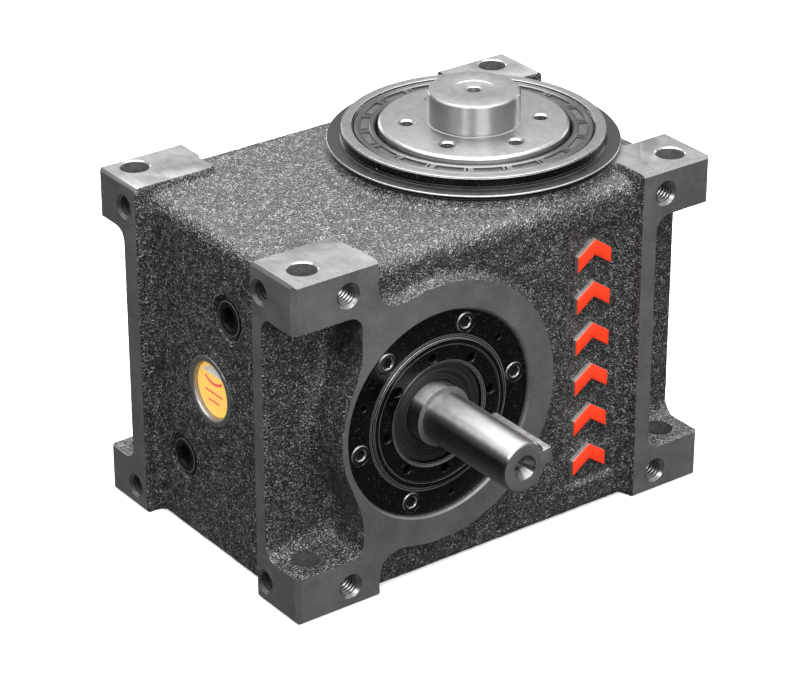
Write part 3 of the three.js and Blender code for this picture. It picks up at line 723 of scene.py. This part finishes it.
def housing():
    body = rough_casting()
    boolean(body, [machining_block()], "INTERSECT", 40)
    broken_edges(body)

    def cut(tools):
        boolean(body, tools, smooth=40)

    cut([room()])
    sides = ((0, 1), (WIDTH, -1))
    seat = CAP_RADIUS + 0.3
    cut([drilled(seat, y, y + way * 12.3, "y", INPUT, GROUND, 128, mouth=0.9) for y, way in sides])
    cut([drilled(40.3, y + way * 11, y + way * 30, "y", INPUT, GROUND, 96) for y, way in sides])
    cut([drilled(RING_BORE, HEIGHT, 150, "z", OUTPUT, GROUND, 128)])
    cut([drilled(COVER_BORE, 0, 10.3, "z", OUTPUT, GROUND, 96, mouth=0.6)])
    cut([drilled(42.4, 9, 31, "z", OUTPUT, GROUND, 64)])
    r, wide = BOLT_RADIUS, BOLT_RADIUS + 1.6
    rim = [(0, -1), (wide, -1), (r, 0.6), (r, HEIGHT - 0.6), (wide, HEIGHT + 1), (0, HEIGHT + 1)]
    cut([lathe("bolt_hole", rim, "z", place, [BORE], 48, soft=0) for place in BOLT_PLACES])
    for axis, far, across in (("y", WIDTH, TAP_X), ("x", LENGTH, TAP_Y)):
        for face, way in ((0, 1), (far, -1)):
            end = face + way * TAP_DEPTH
            cut([tapped(TAP_RADIUS, face, end, axis, (a, z)) for a in across for z in TAP_Z])
    rim = [(0, 0), (18.3, 0), (18.3, 11), (16.9, 11), (16.9, 19), (0, 19)]
    seats = [lathe("seat", rim, "x", GLASS, [CAST], 64, soft=0)]
    rim = [(0, 0), (11.6, 0), (11.6, 10), (10.3, 10), (10.3, 19), (0, 19)]
    seats += [lathe("seat", rim, "x", place, [CAST], 48, soft=0) for place in (FILLER, DRAIN)]
    cut(seats)
    still(body, "housing")


# ---------------- pieces that stand for CAD nodes


def piece(obj, body, node):
    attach(obj, body)
    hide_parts(node)
    return obj


def still(obj, node):
    return piece(obj, "housing_body", node)


def rounded(obj, width):
    """Rounds the sharp edges of a simple solid."""
    step = obj.modifiers.new("round", "BEVEL")
    step.width = width * MM
    step.segments = 2
    step.limit_method = "ANGLE"
    step.angle_limit = math.radians(35)
    return applied(obj, 40)


def swung(obj, degrees, axis, centre):
    """Turns a mesh about a line, counted from the first of the two other axes to the second."""
    mesh = obj.data
    p = rows(mesh)
    i, j = (k for k in range(3) if k != "xyz".index(axis))
    a0, b0 = ORIGIN[i] + centre[0] * MM, ORIGIN[j] + centre[1] * MM
    c, s = math.cos(math.radians(degrees)), math.sin(math.radians(degrees))
    a, b = p[:, i] - a0, p[:, j] - b0
    p[:, i], p[:, j] = a0 + a * c - b * s, b0 + a * s + b * c
    mesh.vertices.foreach_set("co", p.ravel())
    mesh.update()
    return obj


def mirrored(outline):
    """The same outline on the back of the casting."""
    return [(r, WIDTH - s) for r, s in outline]


def chevron(name, z):
    """A raised enamelled mark with sloping sides of bare metal."""
    half, rise, tall, centre = 10, 7, 8, 177.5
    outline = [(-half, 0), (0, rise), (half, 0), (half, tall), (0, rise + tall), (-half, tall)]
    outline = [(centre + a, z + b) for a, b in outline]
    made = []
    count = len(outline)
    levels = [(-0.4, WALL_SIDE + 3), (0, WALL_SIDE + 0.5), (0.3, WALL_SIDE), (0.8, WALL_SIDE - 0.2)]
    for inset, y in levels:
        for i in range(count):
            p = Vector(outline[i])
            back = (Vector(outline[i - 1]) - p).normalized()
            on = (Vector(outline[(i + 1) % count]) - p).normalized()
            side, other = Vector((-on.y, on.x)), -Vector((-back.y, back.x))
            q = p + (side + other) * (inset / (1 + side.dot(other)))
            made.append((q.x, y, q.y))
    faces = [list(range(count))[::-1], [3 * count + i for i in range(count)]]
    for level in range(3):
        low, high = level * count, (level + 1) * count
        for i in range(count):
            j = (i + 1) % count
            faces.append([low + i, low + j, high + j, high + i])
    mark = make(name, made, faces, [RED, MARK_EDGE], 25)
    for f in mark.data.polygons:
        f.material_index = 1 if 2 <= f.index < 2 + count else 0
    outward(mark)
    return mark


def window_marks():
    for i in range(6):
        still(chevron(f"front_mark_{i + 1}", 20.5 + 22 * i), "housing")


def socket_screw(name, length, head, axis, place, way):
    """A socket-head screw whose head's top is at the station head, pointing along way."""

    def at(s):
        return head + way * s

    r, depth, shank = HEAD_RADIUS, HEAD_DEPTH, SHANK_RADIUS
    outline = [(0, at(0)), (r - 0.5, at(0)), (r, at(0.5)), (r, at(depth)), (shank, at(depth))]
    for i in range(length - 4):
        outline += [(shank, at(depth + 3 + i)), (shank - 0.35, at(depth + 3.5 + i))]
    outline += [(shank - 0.5, at(depth + length)), (0, at(depth + length))]
    segments = 40
    made = lathe(name, outline, axis, place, [BLACK, EDGE_HIGHLIGHT], segments, soft=0)
    for f in list(made.data.polygons)[segments : 2 * segments]:
        f.material_index = 1  # the chamfer round the head, given a painted highlight
    low, high = sorted((at(-1), at(depth * 0.5)))
    boolean(made, [prism("hex", arc(place, 2.95, 0, 300, 5), axis, low, high, [SOCKET])])
    # The socket's mouth also takes the painted highlight.
    mouth = [(0, at(-0.5)), (3.8, at(-0.5)), (2.6, at(0.5)), (0, at(0.5))]
    return boolean(made, [lathe("mouth", mouth, axis, place, [EDGE_HIGHLIGHT], 32, soft=0)])


def screws(name, node, places, length, head, axis, way):
    for i, place in enumerate(places, 1):
        made = socket_screw(f"{name}_{i}", length, head, axis, place, way)
        still(made, f"{node}_{i}")


CAP_SCREWS = [about(INPUT, SCREW_CIRCLE, 10 + 60 * i) for i in range(6)]
COVER_SCREWS = [about(OUTPUT, COVER_CIRCLE, 45 + 90 * i) for i in range(4)]


def cap_holes(cap, face, way):
    """Cuts a cap's counterbored screw seats and its jacking holes, at the front or the back."""
    end = face + way * 6
    rim = [(0, face - way), (6.6, face - way), (HEAD_SEAT, face + way * 0.3), (HEAD_SEAT, end), (0, end)]
    boolean(cap, [lathe("seat", rim, "y", place, [BLACK], 40, soft=0) for place in CAP_SCREWS])
    cuts = [drilled(SHANK_HOLE, face + way * 5, face + way * 12, "y", p, BLACK, 20) for p in CAP_SCREWS]
    for i in range(3):
        place = about(INPUT, SCREW_CIRCLE, 40 + 120 * i)
        cuts.append(drilled(1.3, face, face + way * 7, "y", place, BLACK, 20, 0.4))
    boolean(cap, cuts)


def front_cap():
    r, bore, spigot = CAP_RADIUS, CAP_BORE, CAP_SPIGOT
    outline = [(bore, CAP_END), (bore, 9.3), (35, 9.3), (35, 0.8), (37.5, 0.8), (37.5, 1.9), (38.4, 2.4)]
    outline += [(39.3, 2), (r, CAP_FACE), (r, CAP_SEAT), (spigot, CAP_SEAT), (spigot, CAP_END)]
    cap = lathe("bearing_cap_front", outline, "y", INPUT, [BLACK_Y], 144, soft=0.22, painted_highlight=EDGE_HIGHLIGHT)
    cap_holes(cap, CAP_FACE, 1)
    still(cap, "front_bearing_cap")
    screws("cap_screw_front", "front_cap_screw", CAP_SCREWS, 17, CAP_FACE + 0.1, "y", 1)


def adjusting_ring():
    outline = [(34.7, 1.3), (34.7, 9), (25.3, 9), (25.3, 1.9), (26.2, 1.9), (26.8, 1.3)]
    ring = lathe("adjusting_ring", outline, "y", INPUT, [BLACK_Y], 144, soft=0.22, painted_highlight=EDGE_HIGHLIGHT)
    places = [about(INPUT, PIN_CIRCLE, 7 + 45 * i) for i in range(8)]
    boolean(ring, [drilled(2.2, 1.3, 6.3, "y", p, BLACK, 24, 0.5, True) for p in places])
    still(ring, "front_adjusting_ring")


def oil_seal():
    rim = [(25, 3.5), (25, 10.8), (15.3, 10.8), (15.3, 6.2), (15.9, 5.5), (16.7, 5.9), (17.3, 5.3)]
    rim += [(18.3, 5.3), (18.9, 5.8), (19.8, 5), (20.3, 3.9), (21.2, 3.9), (21.6, 4.4), (22.6, 4.4)]
    rim += [(23, 3.5)]
    seal = lathe("oil_seal", rim, "y", INPUT, [RUBBER], 96, soft=0.22)
    still(seal, "front_oil_seal")


def rear_cap():
    r, bore, spigot = CAP_RADIUS, CAP_BORE, CAP_SPIGOT
    outline = [(0, 2.4), (34, 2.4), (34.6, 2), (36.5, 2), (37, 2.5), (38, 2.5), (38.5, 2), (r, CAP_FACE)]
    outline += [(r, CAP_SEAT), (spigot, CAP_SEAT), (spigot, CAP_END), (bore, CAP_END), (bore, CAP_SEAT)]
    outline += [(22, CAP_SEAT), (22, 9), (0, 9)]
    cap = lathe("bearing_cap_rear", mirrored(outline), "y", INPUT, [BLACK_Y], 144, soft=0.22, painted_highlight=EDGE_HIGHLIGHT)
    cap_holes(cap, WIDTH - CAP_FACE, -1)
    still(cap, "rear_bearing_cap")
    screws("cap_screw_rear", "rear_cap_screw", CAP_SCREWS, 17, WIDTH - CAP_FACE - 0.1, "y", -1)


def bearing(label, node, axis, centre, body, outer, inner, low, high):
    """A bearing's rings: the outer has an oil groove round it, the inner a hollow track between lips."""
    half = (low + high) / 2
    lip = (high - low) * 0.16
    bore, rim = outer
    outline = [(rim, low), (rim, half - 1.2), (rim - 0.7, half - 0.8), (rim - 0.7, half + 0.8)]
    outline += [(rim, half + 1.2), (rim, high), (bore, high), (bore + 0.5, half), (bore, low)]
    ring = lathe(f"{label}_outer", outline, axis, centre, [HARD], 96, soft=0.6)
    still(ring, f"{node}_outer")
    bore, rim = inner
    outline = [(bore, low), (rim, low), (rim - 0.3, low + lip), (rim - 1.6, low + lip + 0.2)]
    outline += [(rim - 1.6, high - lip - 0.2), (rim - 0.3, high - lip), (rim, high), (bore, high)]
    ring = lathe(f"{label}_inner", outline, axis, centre, [HARD], 96, soft=0.6)
    piece(ring, body, f"{node}_inner")


def bearings():
    low, high = BEARING_LOW, BEARING_HIGH
    for end, a, b in (("front", low, high), ("rear", WIDTH - high, WIDTH - low)):
        names = (f"input_ring_{end}", f"input_bearing_{end}")
        bearing(*names, "y", INPUT, "input", (26.5, 31), (15.2, 20.5), a, b)
    sizes = [("upper", (46.5, 51.9), (34.35, 40.5), 152, 171.5), ("lower", (30.5, 36), (20.3, 25.5), 15, 31)]
    for end, *size in sizes:
        bearing(f"output_ring_{end}", f"output_bearing_{end}", "z", OUTPUT, "output", *size)


def key_slot(name, y0, y1, low, high, half, front, material):
    """A key or its slot, lying along the shaft beside its axis, with a round far end."""
    z = INPUT[1]
    outline = arc((y1 - half, z), half, -90, 90, 16)
    outline += arc((y0 + front, z + half - front), front, 90, 180, 8)
    outline += arc((y0 + front, z - half + front), front, 180, 270, 8)
    return prism(name, outline, "x", INPUT[0] + low, INPUT[0] + high, [material])


def input_shaft():
    e, r, seat = SHAFT_END, SHAFT_RADIUS, BEARING_SEAT
    shoulder = -2.2
    outline = [(0, e + 12), (3.3, e + 10.4), (3.3, e + 5), (4.6, e + 2.4), (5.7, e + 0.5), (6.2, e)]
    outline += [(r - 1, e), (r, e + 1), (r, shoulder - 0.7), (r - 0.3, shoulder), (seat, shoulder)]
    outline += [(seat, 27.8), (18, 27.8), (18, 42.6), (seat, 42.6), (seat, WIDTH - 12), (0, WIDTH - 12)]
    shaft = lathe("shaft_input", outline, "y", INPUT, [STEEL_Y, GROUND], 128, soft=0.3)
    for f in shaft.data.polygons:
        if f.normal.y < -0.9 and f.center.y < ORIGIN.y:
            f.material_index = 1
    front = key_slot("slot", e - 8, -18.7, 8.3, 20, SLOT_HALF, 1, KEY)
    inside = key_slot("slot", 60, 102, 10.8, 20, SLOT_HALF, 4, KEY)
    boolean(shaft, [swung(s, KEY_TURN, "y", INPUT) for s in (front, inside)])
    piece(shaft, "input", "input_shaft")
    keys = [("key_input", "input_key", e + 0.2, -19, 8.6, 15.8, 0.4)]
    keys.append(("key_cam", "cam_key", 60.3, 101.7, 11.1, 18, 3.8))
    for name, node, y0, y1, low, high, front in keys:
        key = rounded(key_slot(name, y0, y1, low, high, KEY_HALF, front, KEY), 0.45)
        piece(swung(key, KEY_TURN, "y", INPUT), "input", node)
    spacer = [(15.15, 119.6), (19, 119.6), (19, 134.1), (15.15, 134.1)]
    ring = lathe("spacer_cam", spacer, "y", INPUT, [HARD], 96, soft=0.5)
    piece(ring, "input", "cam_spacer")


def groove(step):
    """The room that the rollers sweep in the cam, which turns FOLLOWERS times as fast as the turret."""
    levels = [RIB_TIP - 4, 47, 53, 59.4]
    points, count = [], 2 * len(levels)
    reach_turn = 372  # degrees of the cam from the middle to where the groove leaves it
    turns = np.arange(-reach_turn, reach_turn + step, step)
    for turn in turns:
        swing, a = math.radians(-turn / FOLLOWERS), math.radians(turn)
        for side, row in ((1, levels), (-1, levels[::-1])):
            for radius in row:
                reach = CENTRES - radius * math.cos(swing)
                slope = radius / (FOLLOWERS * reach)
                half = side * (ROLLER_RADIUS * math.sqrt(1 + slope**2) + ROLLER_GAP)
                rho = reach + half * math.sin(swing)
                y = OUTPUT[1] + radius * math.sin(swing) + half * math.cos(swing)
                points.append((INPUT[0] + rho * math.cos(a), y, INPUT[1] + rho * math.sin(a)))
    faces = [list(range(count))[::-1], [len(points) - count + i for i in range(count)]]
    for i in range(len(turns) - 1):
        for j in range(count):
            a, b = i * count + j, i * count + (j + 1) % count
            faces.append([a, b, b + count, a + count])
    made = make("groove", points, faces, [HARD], 180)
    outward(made)
    return made


def cam():
    ys = np.linspace(-30, 30, 25)
    y, bore = OUTPUT[1], BEARING_SEAT + 0.15
    outline = [(CENTRES - math.sqrt(RIB_TIP**2 - s * s), y + s) for s in ys]
    edge = outline[0][0]
    outline += [(edge, y + 32), (24, y + 32), (22, y + 38), (bore, y + 38)]
    outline += [(bore, y - 38), (22, y - 38), (24, y - 32), (edge, y - 32)]
    blank = lathe("cam_roller_gear", outline, "y", INPUT, [HARD], 128, soft=0)
    boolean(blank, [groove(4)])
    x, z = INPUT
    slot = rounded_outline(40, 122, z - SLOT_HALF, z + SLOT_HALF, 0.3)
    slot = prism("slot", slot, "x", x + 10, x + 18.3, [HARD])
    boolean(blank, [swung(slot, KEY_TURN, "y", INPUT)])
    piece(blank, "input", "roller_gear_cam")


def turret():
    rim = [(22.3, 72), (RIB_TIP - 0.7, 72), (RIB_TIP - 0.7, 98), (22.3, 98)]
    body = lathe("turret", rim, "z", OUTPUT, [HARD], 144, soft=0.8)
    turns = [FIRST_FOLLOWER + 360 / FOLLOWERS * i for i in range(FOLLOWERS)]

    def spoke(name, outline, turn, material, segments, soft):
        """A turned solid along a line from the turret's axis, at the given turn."""
        outline = [(r, s + OUTPUT[0]) for r, s in outline]
        made = lathe(name, outline, "x", (OUTPUT[1], INPUT[1]), [material], segments, soft)
        return swung(made, turn, "z", OUTPUT)

    bore = [(0, 25.5), (5.2, 25.5), (5.2, 41.7), (6.6, 43.6), (0, 43.6)]
    boolean(body, [spoke("bore", bore, turn, HARD, 32, 0) for turn in turns])
    piece(body, "output", "follower_turret")
    stud = [(0, 26.4), (4.2, 26.4), (5, 27.2), (5, 56.7), (7, 56.7), (7, 57.7), (1.4, 57.7)]
    stud += [(1.4, 54), (0, 54)]
    r, low, high = ROLLER_RADIUS, 43.8, 56.5
    roller = [(5.3, low), (r - 0.03, low), (r, (low + high) / 2), (r - 0.03, high), (5.3, high)]
    for i, turn in enumerate(turns, 1):
        made = spoke(f"stud_{i}", stud, turn, HARD, 48, 0.15)
        piece(made, "output", f"follower_stud_{i}")
        made = spoke(f"roller_{i}", roller, turn, ROLLER, 96, 0.5)
        piece(made, f"roller_{i}", f"follower_roller_{i}")


def output_flange():
    top, disc, r = BOSS_TOP, DISC_TOP, 22.5
    outline = [(0, top - 18), (3.2, top - 16), (3.2, top - 0.7), (3.9, top - 0.25), (10.4, top - 0.25)]
    outline += [(10.7, top), (r - 0.8, top), (r, top - 0.8), (r, disc + 1.5), (r - 0.4, disc + 1.1)]
    outline += [(r - 0.4, disc + 0.3), (22.8, disc), (44.8, disc), (46, disc - 1.1), (46, 173), (34, 173)]
    outline += [(34, 98.2), (22, 98.2), (22, 31.3), (20, 31.3), (20, 14.5), (0, 14.5)]
    flange = lathe("flange_output", outline, "z", OUTPUT, [STEEL_Z, STEEL_BOSS], 160, soft=0.25)
    for f in flange.data.polygons:
        upper = ORIGIN.z + (disc + 1) * MM < f.center.z < ORIGIN.z + (top - 0.1) * MM
        reach = (f.center.xy - OUTPUT_POINT.xy).length
        f.material_index = 1 if upper and (r - 2.5) * MM < reach < (r + 0.5) * MM else 0
    holes = [about(OUTPUT, FLANGE_CIRCLE, 30 + 60 * i) for i in range(6)]
    boolean(flange, [tapped(3.9, disc, disc - 10.5, "z", p, pitch=1.25) for p in holes])
    piece(flange, "output", "output_flange")


def carrier():
    top = RING_TOP
    outline = [(60, 150), (60, 174.15), (70.5, 174.15), (71, 174.6), (71, 175.1), (70.6, 175.3), (71, 175.5)]
    outline += [(71, 176.6), (70.6, 177), (64.5, 177), (64, 177.3), (64, 177.8), (63.6, 178), (64, 178.3)]
    outline += [(64, top - 0.6), (63.4, top), (58.9, top), (58, top - 1), (58, 172), (52.2, 172), (52.2, 150)]
    ring = lathe("bearing_carrier", outline, "z", OUTPUT, [BLACK_Z, SHEEN_TOP_Z], 192, soft=0.25, painted_highlight=EDGE_HIGHLIGHT)
    ring.data.materials.append(SHEEN_STEP_Z)
    # Faces that look up take lighter steel than the black oxide: a painted sheen, brighter on the top face
    # than on the step below.
    for f in ring.data.polygons:
        if f.normal.z > 0.9 and f.center.z > ORIGIN.z + 176.9 * MM:
            f.material_index = 1 if f.center.z > ORIGIN.z + (top - 1) * MM else 3
    pin_hole = drilled(1.3, 64, 60.5, "x", (0, 0), BLACK, 20, 0.35)
    for v in pin_hole.data.vertices:
        v.co += Vector((*OUTPUT, top - 3.2)) * MM
    boolean(ring, [swung(pin_hole, 188, "z", OUTPUT)])
    still(ring, "output_bearing_carrier")


def output_seal():
    top = RING_TOP - 0.5
    sunk = top - 0.35
    outline = [(57.6, 173.4), (57.6, top - 0.5), (57.2, top), (55.5, top), (55.1, sunk), (50.2, sunk)]
    outline += [(49.8, top), (48.4, top), (47.6, top - 0.9), (47.6, 173.4)]
    ring = lathe("seal_output", outline, "z", OUTPUT, [SEAL_CASE], 180, soft=0.15)
    pads, ticks = [], []
    for i in range(18):
        a = 20 * i
        sector = arc(OUTPUT, 54.6, a - 7.4, a + 7.4, 6) + arc(OUTPUT, 50.6, a + 7.4, a - 7.4, 6)
        pads.append(prism("pad", sector, "z", top - 1.1, top + 1, [SEAL_PAD]))
        sector = arc(OUTPUT, 54.2, a + 8.6, a + 9.6, 1) + arc(OUTPUT, 51, a + 9.6, a + 8.6, 1)
        ticks.append(prism("tick", sector, "z", top - 2.4, top + 1, [RUBBER]))
    boolean(ring, pads)
    boolean(ring, ticks)
    still(ring, "output_seal")


def bottom_cover():
    outline = [(0, 2.5), (30, 2.5), (30.6, 2), (56, 2), (56, 10), (42, 10), (42, 31.5), (36.2, 31.5)]
    outline += [(36.2, 14.7), (26, 14.7), (26, 12), (0, 12)]
    cover = lathe("cover_bottom", outline, "z", OUTPUT, [BLACK_Z], 128, soft=0.4, painted_highlight=EDGE_HIGHLIGHT)
    boolean(cover, [drilled(HEAD_SEAT, 2, 8, "z", p, BLACK, 40, 0.5) for p in COVER_SCREWS])
    boolean(cover, [drilled(SHANK_HOLE, 7, 12, "z", p, BLACK, 20) for p in COVER_SCREWS])
    still(cover, "bottom_cover")
    screws("cover_screw", "bottom_cover_screw", COVER_SCREWS, 12, 2.1, "z", 1)


def sight_glass():
    rim = [(18, 10.9), (18, 8.7), (17.5, 8.2), (15.2, 8.2), (14.4, 9.1), (14.4, 14.4), (16.5, 14.4)]
    rim += [(16.5, 10.9)]
    bezel = lathe("glass_bezel", rim, "x", GLASS, [BEZEL], 96, soft=0.3, painted_highlight=EDGE_HIGHLIGHT)
    still(bezel, "sight_glass_bezel")
    low, high = (corner[0] for corner in span("sight_glass_window"))
    pane = [(0, low), (13.4, low), (14.1, low + 0.6), (14.1, high), (0, high)]
    pane = lathe("glass_pane", pane, "x", GLASS, [CLEAR], 64, soft=0)
    still(pane, "sight_glass_window")
    low, high = (corner[0] for corner in span("sight_glass_reflector"))
    disc = [(0, low), (13.7, low), (14.1, low + 0.4), (14.1, high), (0, high)]
    disc = lathe("level_disc", disc, "x", GLASS, [AMBER], 64, soft=0)
    y, z = GLASS
    front = low - 0.06
    cap = prism("cap", arc((y, z + 1), 11, 38, 142, 12), "x", front, front + 0.04, [WHITE_MARK])
    lines = []
    for half, level in ((7.5, z - 2.4), (4.5, z - 6.9)):
        strip = [(y - half, level), (y + half, level), (y + half, level + 1), (y - half, level + 1)]
        lines.append(prism("line", strip, "x", front, front + 0.04, [RED_MARK]))
    sweep = arc((y, z + 14.5), 12.2, 232, 308, 10) + arc((y, z + 14.8), 11, 308, 232, 10)
    bend = prism("bend", sweep, "x", front - 0.02, front + 0.03, [RED_MARK])
    made = joined("level_plate", [disc, cap, *lines, bend])
    shade(made, 30)
    still(made, "sight_glass_reflector")


def pipe_plug(name, node, place):
    crest, root, pitch = 9.9, 9.4, 1.4
    outline = [(0, 8.9), (8.4, 8.9), (crest, 9.9)]
    for i in range(5):
        outline += [(crest, 10.6 + pitch * i), (root, 11.3 + pitch * i)]
    outline += [(root, 18), (0, 18)]
    plug = lathe(name, outline, "x", place, [BLACK], 64, soft=0.3, painted_highlight=EDGE_HIGHLIGHT)
    boolean(plug, [prism("hex", arc(place, 5.6, 20, 320, 5), "x", 7, 14, [BLACK])])
    mouth = [(0, 8), (6.8, 8), (5, 9.8), (0, 9.8)]
    boolean(plug, [lathe("mouth", mouth, "x", place, [BLACK], 40, soft=0)])
    still(plug, node)


housing()
window_marks()
front_cap()
adjusting_ring()
oil_seal()
rear_cap()
bearings()
input_shaft()
cam()
turret()
output_flange()
carrier()
output_seal()
bottom_cover()
sight_glass()
pipe_plug("plug_filler", "filler_plug", FILLER)
pipe_plug("plug_drain", "drain_plug", DRAIN)

# ---------------- studio

FLOOR_SIZE = 12
TARGET = Vector((-0.029, -0.005, 0.103))
AZIMUTH, ELEVATION, DISTANCE = math.radians(-36.44), math.radians(27.07), 1.5


def floor():
    mesh = bpy.data.meshes.new("floor")
    s = FLOOR_SIZE / 2
    mesh.from_pydata([(-s, -s, 0), (s, -s, 0), (s, s, 0), (-s, s, 0)], [], [(0, 1, 2, 3)])
    made = linked("floor", mesh)
    made.visible_diffuse = False
    made.visible_glossy = False
    glow = {"Emission_Strength": 0.5, "Emission_Color": (1, 1, 1, 1)}
    mesh.materials.append(plain_look("pale_floor", (0.8, 0.8, 0.8), 0.7, 0, 3, 0, **glow))


def aimed(name, data, place, target):
    """A camera or a light at a place, turned to look at the target."""
    made = linked(name, data)
    made.location = place
    made.rotation_mode = "QUATERNION"
    made.rotation_quaternion = (Vector(target) - Vector(place)).to_track_quat("-Z", "Y")
    return made


def camera():
    data = bpy.data.cameras.new("camera")
    data.sensor_width = 36
    data.lens = 142.3
    level = math.cos(ELEVATION)
    back = Vector((math.sin(AZIMUTH) * level, -math.cos(AZIMUTH) * level, math.sin(ELEVATION)))
    bpy.context.scene.camera = aimed("camera", data, TARGET + back * DISTANCE, TARGET)


def softbox(name, place, target, size, watts):
    data = bpy.data.lights.new(name, "AREA")
    data.shape = "RECTANGLE"
    data.size, data.size_y = size
    data.energy = watts
    aimed(name, data, place, target)


def world():
    """A dim ground, a dark horizon and a bright sky, all dimmer on the left."""
    made = bpy.data.worlds.new("studio")
    bpy.context.scene.world = made
    made.use_nodes = True
    tree = Tree(made.node_tree)
    place = tree.node("TexCoord").outputs["Generated"]
    split = tree.node("SeparateXYZ", {0: place})
    height = tree.node("MapRange", {"Value": split.outputs["Z"], "From Min": -1})
    stops = [(0.0, 0.16), (0.42, 0.12), (0.5, 0.02), (0.56, 0.05), (0.63, 0.6), (0.76, 0.88), (1.0, 0.95)]
    values = {"Value": split.outputs["X"], "From Min": -0.9, "From Max": -0.25, "To Min": 0.15}
    side = tree.node("MapRange", values)
    background = made.node_tree.nodes["Background"].inputs
    made.node_tree.links.new(tree.ramp(height.outputs["Result"], stops), background["Color"])
    made.node_tree.links.new(side.outputs["Result"], background["Strength"])


floor()
camera()
world()
softbox("top_light", (-0.05, 0.05, 1.7), (0, 0, 0.1), (2.5, 2.5), 82)
softbox("left_light", (-1.05, -0.6, 1.1), (0, 0, 0.1), (0.35, 0.35), 5)
softbox("front_light", (-0.4, -1.5, 0.75), (0, 0, 0.08), (0.9, 0.4), 8)
softbox("right_light", (1.5, 0.1, 0.4), (0, 0, 0.1), (0.6, 0.4), 3)
softbox("back_light", (0.1, 1.6, 0.4), (0, 0, 0.1), (0.6, 0.4), 3)
bpy.context.scene.view_settings.view_transform = "Standard"
